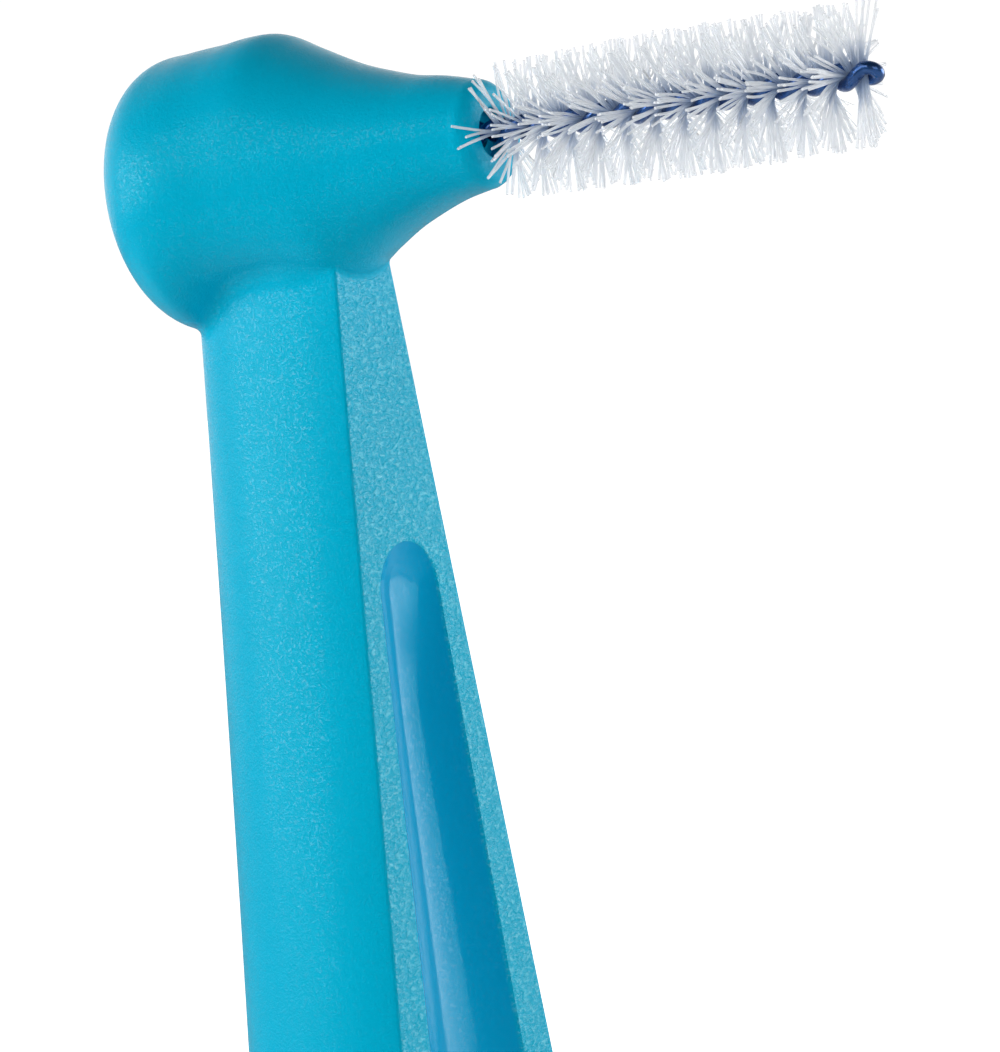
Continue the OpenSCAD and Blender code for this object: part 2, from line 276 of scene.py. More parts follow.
# Length above and below the groove over which the columns spread again
SPREAD = 1.6 * MM
# Squareness of the groove's floor at its upper end and further down
FLOOR_POWERS = (3.0, 2.1)
# Share of the groove's columns that crowds towards its edges
EDGE_CROWDING = 0.35
# Points by which the side is measured before its columns are spaced evenly
SIDE_SAMPLES = 160
# Heights are rounded to this where sections are used again
SECTION_STEP = 0.02 * MM
SECTIONS = {}


def full_half_width(s, z):
    """Half width of the handle at a height, before the end is rounded"""
    grow = eased_rise((s.axis_height - z) / s.taper_length, s.taper_straight, s.taper_reached)
    return mix(s.neck_width, s.grip_width, grow) / 2


def full_thickness(s, z):
    """Thickness of the handle at a height, before the end is rounded"""
    below = s.axis_height - z
    if below < s.swell_length:
        rise = eased_rise(below / s.swell_length, s.swell_straight, s.swell_reached)
        return mix(s.neck_thickness, s.swell_thickness, rise)
    return mix(s.swell_thickness, s.grip_thickness,
               smooth((below - s.swell_length) / (s.axis_height - s.swell_length)))


def handle_size(s, z):
    """Half width and thickness of the handle at a height"""
    grown = 1.0
    if z < s.end_length:
        grown = math.sqrt(max(0.0, 1 - (1 - z / s.end_length) ** 2))
    return (mix(s.end_width / 2, full_half_width(s, z), grown),
            mix(s.end_thickness, full_thickness(s, z), grown))


def width_share(s, u):
    """Half width of the oval section at a share of its half length from the widest place"""
    return (1 - u ** s.section_power) ** (1 / s.section_power)


def face_share(s):
    """Width of the flat face as a share of the handle's width"""
    return width_share(s, s.widest_share / (1 - s.widest_share))


def groove_half_width(s, z):
    """Half width of the groove's straight part at a height"""
    return s.groove_share * face_share(s) * full_half_width(s, z)


def groove_ends(s):
    """Places of the groove: lower end, start of the straight part, its end, and upper end"""
    top = s.axis_height - s.groove_top
    low_half = groove_half_width(s, s.groove_foot)
    top_half = groove_half_width(s, top)
    return (s.groove_foot, s.groove_foot + GROOVE_END_SHARE * low_half,
            top - GROOVE_END_SHARE * top_half, top)


def end_reach(s, z):
    """How far a height lies into one of the groove's round ends, from 0 to 1 at its very end"""
    foot, low, high, top = groove_ends(s)
    if z > high:
        return (z - high) / (top - high)
    return max(0.0, (low - z) / (low - foot))


def groove_depth(s, y, z):
    """Depth of the groove at a place on the flat face"""
    foot, low, high, top = groove_ends(s)
    if not foot < z < top:
        return 0.0
    across = y / groove_half_width(s, min(high, max(low, z)))
    rho = math.hypot(across, end_reach(s, z))
    if rho >= 1:
        return 0.0
    grown = smooth((top - z) / s.groove_run)
    power = mix(FLOOR_POWERS[0], FLOOR_POWERS[1], grown)
    return mix(s.groove_start, s.groove_depth, grown) * (1 - rho ** power)


def face_places(s, z, half):
    """Places across the flat face, spaced so that they follow the groove's outline"""
    foot, low, high, top = groove_ends(s)
    nearest = min(top, max(foot, z))
    reach = end_reach(s, nearest)
    groove = groove_half_width(s, min(high, max(low, z))) * max(
        NARROWEST_SHARE, math.sqrt(max(0.0, 1 - reach * reach)))
    even = half * GROOVE_COLUMNS / FRONT_COLUMNS
    groove = mix(groove, even, smooth(abs(z - nearest) / SPREAD))
    lip = [mix(groove, half, k / LIP_COLUMNS) for k in range(1, LIP_COLUMNS + 1)]
    middle = [groove * math.sin(math.pi * (k / GROOVE_COLUMNS - 0.5)) * EDGE_CROWDING
              + groove * (2 * k / GROOVE_COLUMNS - 1) * (1 - EDGE_CROWDING)
              for k in range(GROOVE_COLUMNS + 1)]
    return [-y for y in reversed(lip)] + middle + lip


def even_places(points, count):
    """The given number of places spaced evenly along a line of points, without its start"""
    line = np.array(points)
    steps = np.hypot(*np.diff(line, axis=0).T)
    along = np.concatenate([[0.0], np.cumsum(steps)])
    wanted = np.linspace(0, along[-1], count + 1)[1:]
    return list(zip(np.interp(wanted, along, line[:, 0]), np.interp(wanted, along, line[:, 1])))


def side_half(s, half, thick, count):
    """Evenly spaced places along one side, from the edge of the face to the middle of the back"""
    n = s.section_power
    ahead = s.widest_share * thick
    run = thick - ahead
    u = (ahead - s.edge_radius) / run
    first = math.atan2(width_share(s, u), -u)
    line = []
    for k in range(SIDE_SAMPLES + 1):
        q = first * (1 - k / SIDE_SAMPLES)
        r = (abs(math.cos(q)) ** n + abs(math.sin(q)) ** n) ** (-1 / n)
        line.append((s.face_x - ahead - run * math.cos(q) * r, half * math.sin(q) * r))
    return line[0], even_places(line, count)


def section(s, z, grooved=True):
    """Places round the handle at a height: flat face, far side, back, near side"""
    half, thick = handle_size(s, z)
    corner = half * face_share(s)
    flat = corner - s.edge_radius
    front = [(s.face_x - (groove_depth(s, y, z) if grooved else 0.0), y)
             for y in face_places(s, z, flat)]
    (low_x, low_y), side = side_half(s, half, thick, SIDE_COLUMNS - EDGE_COLUMNS + FRONT_COLUMNS // 2)
    edge = []
    for k in range(1, EDGE_COLUMNS + 1):
        t = k / EDGE_COLUMNS
        edge.append((low_x * t * t + s.face_x * (1 - t * t),
                     flat * (1 - t) ** 2 + corner * 2 * t * (1 - t) + low_y * t * t))
    half_round = edge + side
    mirrored = [(x, -y) for x, y in reversed(half_round[:-1])]
    return front + half_round + mirrored


def section_place(s, column, z):
    """Place of one column at a height, without the groove"""
    key = round(z / SECTION_STEP)
    if key not in SECTIONS:
        SECTIONS[key] = section(s, key * SECTION_STEP, False)
    return SECTIONS[key][column]


# Surface of the head

# Places along the head, and how much of the step from nose to dome its top, underside and sides have there
TOP_SHARES = [(0, 1), (0.09, 1.015), (0.18, 1.02), (0.26, 1.034), (0.34, 0.998), (0.43, 0.81), (0.51, 0.636),
              (0.6, 0.455), (0.7, 0.3), (0.8, 0.172), (0.9, 0.097), (1, 0)]
UNDER_SHARES = [(0, 1), (0.06, 0.85), (0.13, 0.64), (0.2, 0.56), (0.3, 0.57), (0.4, 0.64), (0.51, 0.685),
                (0.6, 0.512), (0.7, 0.322), (0.8, 0.184), (0.9, 0.072), (1, 0)]
SIDE_SHARES = [(0, 1), (0.25, 0.793), (0.45, 0.613), (0.6, 0.455), (0.75, 0.303), (0.88, 0.151), (1, 0)]
# Columns round the head; rings behind, beside and ahead of the neck; rings of the fillet
HEAD_COLUMNS = 152
REAR_RINGS = 24
HOLE_RINGS = SIDE_COLUMNS
FORE_RINGS = 36
FILLET_RINGS = 10
# Rings of the nose's edge and of the recess's, and places of rings on the face between them
NOSE_EDGE_RINGS = 6
RECESS_EDGE_RINGS = 3
NOSE_FACE_SHARES = (0.35, 0.7, 1.0)
# Rounds in which a point under the head is found
SETTLE_STEPS = 12


def dome_x(h, s):
    """Place of the dome's centre along the brush"""
    return s.face_x - h.back_reach + h.dome_length


def head_run(h, s):
    """Length of the head from the dome's centre to the nose's edge"""
    return s.face_x + h.nose_reach - h.nose_edge - dome_x(h, s)


def dome_share(h, behind):
    """Radius of the dome as a share, at a share of its length behind its centre"""
    return math.sqrt(1 - min(1.0, behind) ** h.dome_power)


def head_side(h, s, x):
    """Half width of the head at a place along it"""
    widest = s.face_x - h.back_reach + h.side_length
    if x < widest:
        return h.side_radius * dome_share(h, (widest - x) / h.side_length)
    u = (x - widest) / (dome_x(h, s) + head_run(h, s) - widest)
    return mix(h.nose_radius, h.side_radius, curve_at(SIDE_SHARES, u))


def head_at(h, s, w):
    """Place, drop and radii at the top, underside and sides, at a distance w from the dome's centre"""
    if w < 0:
        behind = math.cos(math.pi / 2 + w / h.dome_length)
        x = dome_x(h, s) - h.dome_length * behind
        r = h.radius * dome_share(h, behind)
        return x, h.drop - h.dome_rise * behind ** 2, r, r, head_side(h, s, x)
    x = dome_x(h, s) + w
    u = w / head_run(h, s)
    return (x, h.drop * (1 - smooth(u)), mix(h.nose_radius, h.radius, curve_at(TOP_SHARES, u)),
            mix(h.nose_radius, h.radius, curve_at(UNDER_SHARES, u)), head_side(h, s, x))


def radius_toward(top, under, side, phi):
    """Radius of the head's section in the direction phi"""
    up = math.sin(phi)
    return side + ((top if up > 0 else under) - side) * up * up


def head_place(h, s, w, phi):
    """Point on the head, phi being 0 at the far side and a quarter turn at the top"""
    x, drop, top, under, side = head_at(h, s, w)
    r = radius_toward(top, under, side, phi)
    return Vector((x, r * math.cos(phi), s.axis_height - drop + r * math.sin(phi)))


def head_under(h, s, x, y):
    """The w and phi of the point under the head at x and y"""
    if x >= dome_x(h, s):
        w = x - dome_x(h, s)
    else:
        w = -h.dome_length * math.asin(min(1.0, (dome_x(h, s) - x) / h.dome_length))
    top, under, side = head_at(h, s, w)[2:]
    phi = -math.pi / 2
    for _ in range(SETTLE_STEPS):
        phi = -math.acos(max(-1.0, min(1.0, y / radius_toward(top, under, side, phi))))
    return w, phi


def nose_rings(h, s, phis):
    """Rings of the nose's round edge, its face, the recess and the wire's hole, then the last point"""
    nose_x = s.face_x + h.nose_reach
    rings = []

    def ring_at(x, r):
        """Adds a ring round the brush's axis"""
        rings.append([Vector((x, r * math.cos(phi), s.axis_height + r * math.sin(phi))) for phi in phis])

    for k in range(1, NOSE_EDGE_RINGS + 1):
        q = math.pi / 2 * k / NOSE_EDGE_RINGS
        ring_at(nose_x - h.nose_edge * (1 - math.sin(q)), h.nose_radius - h.nose_edge * (1 - math.cos(q)))
    rim = h.recess_radius + h.recess_edge
    for t in NOSE_FACE_SHARES:
        ring_at(nose_x, mix(h.nose_radius - h.nose_edge, rim, t))
    for k in range(1, RECESS_EDGE_RINGS + 1):
        q = math.pi / 2 * k / RECESS_EDGE_RINGS
        ring_at(nose_x - h.recess_edge * (1 - math.cos(q)), rim - h.recess_edge * math.sin(q))
    floor_x = nose_x - h.recess_depth
    for x in ((nose_x + floor_x) / 2, floor_x):
        ring_at(x, h.recess_radius)
    for r in ((h.recess_radius + h.socket_radius) / 2, h.socket_radius):
        ring_at(floor_x, r)
    ring_at(nose_x - h.socket_depth, h.socket_radius)
    rings.append(Vector((nose_x - h.socket_depth, 0, s.axis_height)))
    return rings


# Meshes

# Angles in degrees past which an edge stays sharp
HANDLE_CREASE = 32
ROUND_CREASE = 60


def extrude_ring(bm, ring, places):
    """Draws a closed ring of vertices out to new places and returns the new ring"""
    edges = [bm.edges.get((ring[i - 1], ring[i])) for i in range(len(ring))]
    made = bmesh.ops.extrude_edge_only(bm, edges=edges)["geom"]
    fresh = {v for v in made if isinstance(v, bmesh.types.BMVert)}
    out = [next(e.other_vert(v) for e in v.link_edges if e.other_vert(v) in fresh) for v in ring]
    for v, place in zip(out, places):
        v.co = place
    return out


def first_ring(bm, places):
    """Closed ring of vertices at the given places"""
    ring = bmesh.ops.create_circle(bm, segments=len(places), radius=1.0, cap_ends=False)["verts"]
    for v, place in zip(ring, places):
        v.co = place
    return ring


def close_ring(bm, ring, place):
    """Closes a ring with faces that meet in one point"""
    last = extrude_ring(bm, ring, [place] * len(ring))
    bmesh.ops.pointmerge(bm, verts=last, merge_co=place)


def finished_piece(bm, name, material, crease, nodes):
    """Makes a smooth object of a closed bmesh, riding on the body and standing for CAD nodes"""
    bmesh.ops.recalc_face_normals(bm, faces=bm.faces[:])
    mesh = bpy.data.meshes.new(name)
    bm.to_mesh(mesh)
    bm.free()
    mesh.materials.append(material)
    mesh.polygons.foreach_set("use_smooth", [True] * len(mesh.polygons))
    mesh.set_sharp_from_angle(angle=math.radians(crease))
    piece = bpy.data.objects.new(name, mesh)
    bpy.context.scene.collection.objects.link(piece)
    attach(piece, BODY)
    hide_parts(*nodes)


# Handle

# Rounds in which the neck's meeting with the head and the head's columns settle
MEET_STEPS = 5
RELAX_STEPS = 900
# Distances from the face and from the back over which the fillet grows
FILLET_FRONT_RUN = 1.6 * MM
FILLET_BACK_RUN = 1.4 * MM
# Steps between the handle's rings: at the neck, at the groove's top, just below it, further down,
# along the grip and below the groove
NECK_STEP = 0.3 * MM
TOP_STEP = 0.06 * MM
UPPER_STEP = 0.12 * MM
MIDDLE_STEP = 0.5 * MM
GRIP_STEP = 0.8 * MM
FOOT_STEP = 0.2 * MM
# Length of the groove over which the steps grow
UPPER_RUN = 10 * MM
# Rings through the groove's top, through its foot and round the handle's end
TOP_RINGS = 22
FOOT_RINGS = 12
END_RINGS = 14
# Rings from the fillet's uneven foot to a level one, and how far below the fillet that lies
NECK_RINGS = 16
NECK_RUN = 0.8 * MM
# Place of the ring on the flat end, as a share of the way to its middle
END_INSET = 0.5


def neck_corners(h, s):
    """Points where the neck, carried straight up, would meet the head's underside"""
    heights = [s.axis_height - h.radius] * HANDLE_COLUMNS
    for _ in range(MEET_STEPS):
        points = []
        for c, height in enumerate(heights):
            x, y = section_place(s, c, height)
            points.append((x, y, head_place(h, s, *head_under(h, s, x, y)).z))
        heights = [p[2] for p in points]
    return points


def fillet_sizes(s, corners):
    """Size of the fillet at each column: small at the front and back, larger at the sides"""
    back = min(x for x, y, z in corners)
    sizes = []
    for x, y, z in corners:
        side = smooth((s.face_x - x) / FILLET_FRONT_RUN) * smooth((x - back) / FILLET_BACK_RUN)
        sizes.append(mix(s.small_fillet, s.side_fillet, side))
    return sizes


def outward(corners, c):
    """Direction in which the outline faces at a column"""
    a, b = corners[c - 1], corners[(c + 1) % len(corners)]
    return Vector((b[1] - a[1], a[0] - b[0], 0)).normalized()


def hole_loop():
    """Rings and columns of the hole's edge, in the order of the handle's columns"""
    front, back = REAR_RINGS + HOLE_RINGS, REAR_RINGS
    loop = [(front, i) for i in range(FRONT_COLUMNS + 1)]
    loop += [(j, FRONT_COLUMNS) for j in range(front - 1, back, -1)]
    loop += [(back, i) for i in range(FRONT_COLUMNS, -1, -1)]
    loop += [(j, 0) for j in range(back + 1, front)]
    return loop


def head_grid(h, s, hole):
    """Places of the head's vertices as w and phi, relaxed round the hole for the neck"""
    run = head_run(h, s)
    front_w = max(w for w, phi in hole)
    back_w = min(w for w, phi in hole)
    pole = -math.pi / 2 * h.dome_length
    w_rows = np.concatenate([np.linspace(pole, back_w, REAR_RINGS + 1)[:-1],
                             np.linspace(back_w, front_w, HOLE_RINGS + 1)[:-1],
                             np.linspace(front_w, run, FORE_RINGS + 1)])
    first = -math.pi / 2 - math.pi * FRONT_COLUMNS / HEAD_COLUMNS
    phis = first + 2 * math.pi * np.arange(HEAD_COLUMNS) / HEAD_COLUMNS
    w_grid = np.repeat(w_rows[:, None], HEAD_COLUMNS, 1)
    phi_grid = np.repeat(phis[None, :], len(w_rows), 0)
    fixed = np.zeros(w_grid.shape, bool)
    fixed[[0, -1], :] = True
    for (j, i), (w, phi) in zip(hole_loop(), hole):
        w_grid[j, i], phi_grid[j, i], fixed[j, i] = w, phi, True
    inner_rows = slice(REAR_RINGS + 1, REAR_RINGS + HOLE_RINGS)
    fixed[inner_rows, 1:FRONT_COLUMNS] = True
    turn_once = 2 * math.pi
    for _ in range(RELAX_STEPS):
        left = np.roll(phi_grid, 1, 1)
        left[:, 0] -= turn_once
        right = np.roll(phi_grid, -1, 1)
        right[:, -1] += turn_once
        phi_new = (left + right) / 4
        w_new = (np.roll(w_grid, 1, 1) + np.roll(w_grid, -1, 1)) / 4
        phi_new[1:-1] += (phi_grid[:-2] + phi_grid[2:]) / 4
        w_new[1:-1] += (w_grid[:-2] + w_grid[2:]) / 4
        phi_grid = np.where(fixed, phi_grid, phi_new)
        w_grid = np.where(fixed, w_grid, w_new)
    return w_grid, phi_grid


def handle_rows(s, start):
    """Heights of the handle's rings, from the neck down to the flat end"""
    foot, low, high, top = groove_ends(s)
    rows = []

    def down_to(z, step, last_step):
        """Adds heights down to z, each a step from the last, the steps growing or shrinking evenly"""
        begin = rows[-1] if rows else start
        count = max(1, round(2 * (begin - z) / (step + last_step)))
        for k in range(1, count + 1):
            t = k / count
            fallen = t * (2 * step + (last_step - step) * t) / (step + last_step)
            rows.append(begin - (begin - z) * fallen)

    def start_round(z, count):
        """Adds heights down to z that start close together"""
        begin = rows[-1]
        for k in range(1, count + 1):
            rows.append(mix(begin, z, 1 - math.cos(math.pi / 2 * k / count)))

    def end_round(z, count):
        """Adds heights down to z that end close together"""
        begin = rows[-1]
        for k in range(1, count + 1):
            rows.append(mix(z, begin, 1 - math.sin(math.pi / 2 * k / count)))

    down_to(top, NECK_STEP, TOP_STEP)
    start_round(high, TOP_RINGS)
    down_to(high - UPPER_RUN, UPPER_STEP, MIDDLE_STEP)
    down_to(low, MIDDLE_STEP, GRIP_STEP)
    end_round(foot, FOOT_RINGS)
    down_to(s.end_length, FOOT_STEP, GRIP_STEP)
    end_round(0.0, END_RINGS)
    return rows


def mark_finish(bm, s, ring, z):
    """Notes how grained the surface is round the handle at a height, and how much of it is the polished
    groove with its painted shade
    """
    grain = bm.verts.layers.float["grain"]
    polish_and_shade = bm.verts.layers.float["polish_and_shade"]
    foot, low, high, top = groove_ends(s)
    for c, v in enumerate(ring):
        on_face = c <= FRONT_COLUMNS
        in_groove = LIP_COLUMNS < c < FRONT_COLUMNS - LIP_COLUMNS and foot < z < top
        v[grain] = 1.0 if on_face and not in_groove else 0.0
        v[polish_and_shade] = 1.0 if in_groove else 0.0


def head_skin(bm, h, s, hole):
    """Head, closed at its dome and nose; returns the ring round its hole for the neck"""
    w_grid, phi_grid = head_grid(h, s, hole)
    rings = []
    for w_row, phi_row in zip(w_grid[1:], phi_grid[1:]):
        places = [head_place(h, s, w, phi) for w, phi in zip(w_row, phi_row)]
        rings.append(extrude_ring(bm, rings[-1], places) if rings else first_ring(bm, places))
    *nose, nose_end = nose_rings(h, s, phi_grid[-1])
    ring = rings[-1]
    for places in nose:
        ring = extrude_ring(bm, ring, places)
    close_ring(bm, ring, nose_end)
    close_ring(bm, rings[0], head_place(h, s, w_grid[0, 0], 0.0))
    inside = [rings[j - 1][i] for j in range(REAR_RINGS + 1, REAR_RINGS + HOLE_RINGS)
              for i in range(1, FRONT_COLUMNS)]
    edge = [rings[j - 1][i] for j, i in hole_loop()]
    bmesh.ops.delete(bm, geom=inside, context="VERTS")
    return edge


def neck_fillet(bm, s, corners, sizes, edge):
    """Fillet from the edge of the head's hole down to the neck; returns its last ring"""
    ring = edge
    for k in range(1, FILLET_RINGS + 1):
        t = k / FILLET_RINGS
        places = []
        for c, (x, y, z) in enumerate(corners):
            low = Vector((*section_place(s, c, z - sizes[c]), z - sizes[c]))
            corner = Vector((x, y, z))
            places.append(edge[c].co * (1 - t) ** 2 + corner * 2 * t * (1 - t) + low * t * t)
        ring = extrude_ring(bm, ring, places)
    return ring


def level_neck(bm, s, corners, sizes, ring, level):
    """Rings from the fillet's uneven foot down to a level one, which it returns"""
    mark_finish(bm, s, ring, level)
    for k in range(1, NECK_RINGS + 1):
        places = []
        for c, (x, y, z) in enumerate(corners):
            height = mix(z - sizes[c], level, k / NECK_RINGS)
            places.append(Vector((*section_place(s, c, height), height)))
        ring = extrude_ring(bm, ring, places)
        mark_finish(bm, s, ring, level)
    return ring


def build_handle(h, s):
    """Head and handle as one closed skin"""
    SECTIONS.clear()
    bm = bmesh.new()
    bm.verts.layers.float.new("grain")
    bm.verts.layers.float.new("polish_and_shade")
    corners = neck_corners(h, s)
    sizes = fillet_sizes(s, corners)
    hole = []
    for c, (x, y, z) in enumerate(corners):
        out = outward(corners, c) * sizes[c]
        hole.append(head_under(h, s, x + out.x, y + out.y))
    ring = neck_fillet(bm, s, corners, sizes, head_skin(bm, h, s, hole))
    level = min(z - size for (x, y, z), size in zip(corners, sizes)) - NECK_RUN
    ring = level_neck(bm, s, corners, sizes, ring, level)
    for z in handle_rows(s, level):
        ring = extrude_ring(bm, ring, [Vector((x, y, z)) for x, y in section(s, z)])
        mark_finish(bm, s, ring, z)
    middle = Vector((0, 0, 0))
    inner = extrude_ring(bm, ring, [v.co.lerp(middle, END_INSET) for v in ring])
    close_ring(bm, inner, middle)
    return bm


# Wire and filaments

# Way the brush points
FORWARD = Vector((1, 0, 0))
# Sides of a strand, and its rings in each turn of the twist and round the fold
STRAND_SIDES = 14
STATIONS_PER_TURN = 26
FOLD_STATIONS = 18
# Sides of a filament and the lengths it is cut into
FILAMENT_SIDES = 5
FILAMENT_STEPS = 10
# Share of its reach by which a bristle falls short, and how late it leans, 1 being evenly
REACH_SPREAD = 0.02
LEAN_POWER = 1.5
# Length over which the last groups come to splay, and how far a filament strays along the wire
SPLAY_RUN = 0.5 * MM
PLACE_SPREAD = 0.008 * MM
# Share of a bristle to each side over which its direction is taken
SLOPE_STEP = 0.05


def fold_start(wire):
    """Distance from the nose at which the strands begin to fold back"""
    return (wire.brush_length - wire.fold_relief - wire.strand_radius
            - (wire.strand_offset + wire.fold_spread) * wire.fold_round)


def twist_direction(wire, along):
    """Direction from the axis to the first strand at a distance from the nose"""
    q = wire.fold_turn + 2 * math.pi * (fold_start(wire) - along) / wire.pitch
    return Vector((0, math.cos(q), math.sin(q)))


def wire_route(wire, nose):
    """Points along the folded wire, each with a direction square to it"""
    fold_radius = wire.strand_offset + wire.fold_spread
    fold = fold_start(wire)
    count = round(STATIONS_PER_TURN * (wire.held_length + fold) / wire.pitch)
    up = []
    for i in range(count + 1):
        along = mix(-wire.held_length, fold, i / count)
        spread = smooth((along - wire.brush_length + wire.fold_length) / wire.fold_length)
        up.append((along, wire.strand_offset + wire.fold_spread * spread, twist_direction(wire, along)))
    off = up[-1][1]
    level = up[-1][2]
    route = [(nose + FORWARD * a + e * r, e) for a, r, e in up]
    for i in range(1, FOLD_STATIONS):
        q = math.pi * i / FOLD_STATIONS
        reach = fold + fold_radius * wire.fold_round * math.sin(q)
        route.append((nose + FORWARD * reach + level * off * math.cos(q),
                      level * math.cos(q) + FORWARD * math.sin(q)))
    route += [(nose + FORWARD * a - e * r, -e) for a, r, e in reversed(up)]
    return route


def sweep(bm, route, radius, sides):
    """Closed tube along a route of points and directions"""
    ring = None
    for i, (point, away) in enumerate(route):
        ahead = (route[min(i + 1, len(route) - 1)][0] - route[max(i - 1, 0)][0]).normalized()
        first = (away - ahead * away.dot(ahead)).normalized()
        second = ahead.cross(first)
        places = [point + (first * math.cos(q) + second * math.sin(q)) * radius
                  for q in (2 * math.pi * k / sides for k in range(sides))]
        if ring is None:
            ring = first_ring(bm, places)
            start = ring
        else:
            ring = extrude_ring(bm, ring, places)
    close_ring(bm, start, route[0][0])
    close_ring(bm, ring, route[-1][0])


def straight_filament():
    """Straight round bar of unit length and radius, cut into short lengths"""
    bm = bmesh.new()
    bmesh.ops.create_cone(bm, cap_ends=True, segments=FILAMENT_SIDES, radius1=1.0, radius2=1.0, depth=2.0)
    for k in range(1, FILAMENT_STEPS):
        cut = -1 + 2 * k / FILAMENT_STEPS
        bmesh.ops.bisect_plane(bm, geom=bm.verts[:] + bm.edges[:] + bm.faces[:],
                               plane_co=(0, 0, cut), plane_no=(0, 0, 1))
    mesh = bpy.data.meshes.new("straight_filament")
    bm.to_mesh(mesh)
    bm.free()
    return mesh


def reach_at(f, wire, along):
    """Distance from the axis to the bristles' tips at a distance from the nose"""
    u = along / wire.brush_length
    if u < 0.5:
        return mix(f.root_reach, f.middle_reach, smooth(2 * u))
    return mix(f.middle_reach, f.tip_reach, smooth(2 * u - 1))


def filament_line(f, wire, nose, along, lean, rng):
    """Function that gives the place of a filament at t, from -1 at one tip to 1 at the other"""
    out = FORWARD.cross(twist_direction(wire, along))
    out.rotate(Matrix.Rotation(rng.gauss(0, f.scatter), 3, "X"))
    side = FORWARD.cross(out)
    ahead = wire.brush_length - wire.fold_relief - f.radius - along
    lean = [min(shared + rng.gauss(0, f.stray), ahead) for shared in lean]
    bow, sway = [[rng.gauss(0, f.bow) for _ in range(2)] for _ in range(2)]
    reach = [reach_at(f, wire, along) * (1 - abs(rng.gauss(0, REACH_SPREAD))) for _ in range(2)]
    base = nose + FORWARD * along

    def place(t):
        """Place of the filament at t"""
        k = 0 if t < 0 else 1
        a = abs(t)
        sign = -1 if t < 0 else 1
        bend = math.sin(math.pi * a)
        return (base + out * (sign * a * reach[k]) + side * (bow[k] * bend)
                + FORWARD * (lean[k] * a ** LEAN_POWER + sway[k] * bend))

    return place


def filament_places(f, wire, rng):
    """Places of the filaments along the brush, each with the lean of its group's two tips"""
    places = []
    owed = 0.0
    along = f.start
    while along < wire.brush_length - f.end:
        near_tip = smooth((along - wire.brush_length + f.end + SPLAY_RUN) / SPLAY_RUN)
        lean = [rng.gauss(0, mix(f.lean, f.splay, near_tip)) for _ in range(2)]
        owed += mix(f.nose_group, f.group, smooth(along / f.group_run))
        count = int(owed)
        owed -= count
        for i in range(count):
            place = along + (i - (count - 1) / 2) * f.radius + rng.gauss(0, PLACE_SPREAD)
            places.append((place, lean))
        along += f.step
    return places


def build_filaments(f, wire, nose):
    """All filaments as one mesh of separate closed bars"""
    rng = random.Random(f.seed)
    bar = straight_filament()
    bm = bmesh.new()
    count = len(bar.vertices)
    for along, lean in filament_places(f, wire, rng):
        bm.from_mesh(bar)
        place = filament_line(f, wire, nose, along, lean, rng)
        bm.verts.ensure_lookup_table()
        for v in bm.verts[-count:]:
            t = v.co.z
            point = place(t)
            ahead = (place(min(1.0, t + SLOPE_STEP)) - place(max(-1.0, t - SLOPE_STEP))).normalized()
            first = ahead.orthogonal().normalized()
            second = ahead.cross(first)
            v.co = point + (first * v.co.x + second * v.co.y) * f.radius
    bpy.data.meshes.remove(bar)
    return bm


# Materials

# Grains to the millimetre: flat face, rest of the handle, coating, bare wire and filaments
FACE_GRAINS = 9.0
SKIN_GRAINS = 14.0
COAT_GRAINS = 3.0
STEEL_GRAINS = 20.0
NYLON_GRAINS = 4.0
# Scale of the face's pattern, which draws its grains out across the handle
FACE_SCALE = (1, 0.55, 1)
# Band of the noise that gives the grain's height, and the narrower one that gives its peaks
HEIGHT_BAND = (0.3, 0.7)
PEAK_BAND = (0.52, 0.66)
# Depth of the face's grain, the rest of the handle's as a share of it, and the coating's waves
FACE_RELIEF = 0.028 * MM
SKIN_RELIEF = 0.25
COAT_RELIEF = 0.006 * MM
# Roughness where the pattern is low and where it is high; on the body, unpolished and polished
BODY_ROUGHNESS = (0.24, 0.11)
COAT_ROUGHNESS = (0.16, 0.26)
STEEL_ROUGHNESS = (0.2, 0.35)
NYLON_ROUGHNESS = (0.35, 0.45)
# Second colour of each pattern as a share of the first; the coating's lighter blue is a painted sheen on its
# ripples
BODY_SHADE = 0.93
COAT_SHEEN = 1.7
STEEL_SHADE = 0.8
FLOOR_SHADE = 0.99
# Clouds to the metre in the body's colour and the floor's
BODY_CLOUDS = 180.0
FLOOR_CLOUDS = 3.0
# Colour of the body's reflections and strength of the light specks on its skin
GLOSS_TINT = (0.05, 0.95, 1.0)
SPECKS = 0.42
# Distances from the wire's axis over which the filaments' painted shade, tinted blue by the wire, fades to
# their own colour, and how evenly it does
WIRE_SHADE_FADE = (0.35 * MM, 1.0 * MM)
WIRE_SHADE_EVENNESS = 0.85
# Brightness of the floor to the camera
FLOOR_GLOW = 1.1
WHITE = (1, 1, 1, 1)


def new_material(name, **inputs):
    """Material with a Principled shader whose plain values are set on its own sockets"""
    material = bpy.data.materials.new(name)
    material.use_nodes = True
    shader = material.node_tree.nodes["Principled BSDF"]
    for socket, value in inputs.items():
        shader.inputs[socket.replace("_", " ")].default_value = value
    return material, material.node_tree, shader


def add_node(tree, kind, inputs=None, **settings):
    """Node with some inputs joined to sockets or set to values"""
    node = tree.nodes.new(kind)
    for key, value in settings.items():
        setattr(node, key, value)
    for key, value in (inputs or {}).items():
        if isinstance(value, bpy.types.NodeSocket):
            tree.links.new(value, node.inputs[key])
        else:
            node.inputs[key].default_value = value
    return node


def rgba(value):
    """Colour with full opacity, or a socket as it is"""
    return value if isinstance(value, bpy.types.NodeSocket) else (*value, 1.0)


def object_place(tree):
    """Place on the piece, in its own coordinates"""
    return add_node(tree, "ShaderNodeTexCoord").outputs["Object"]


def product(tree, first, second):
    """Product of two values"""
    return add_node(tree, "ShaderNodeMath", {0: first, 1: second}, operation="MULTIPLY").outputs[0]


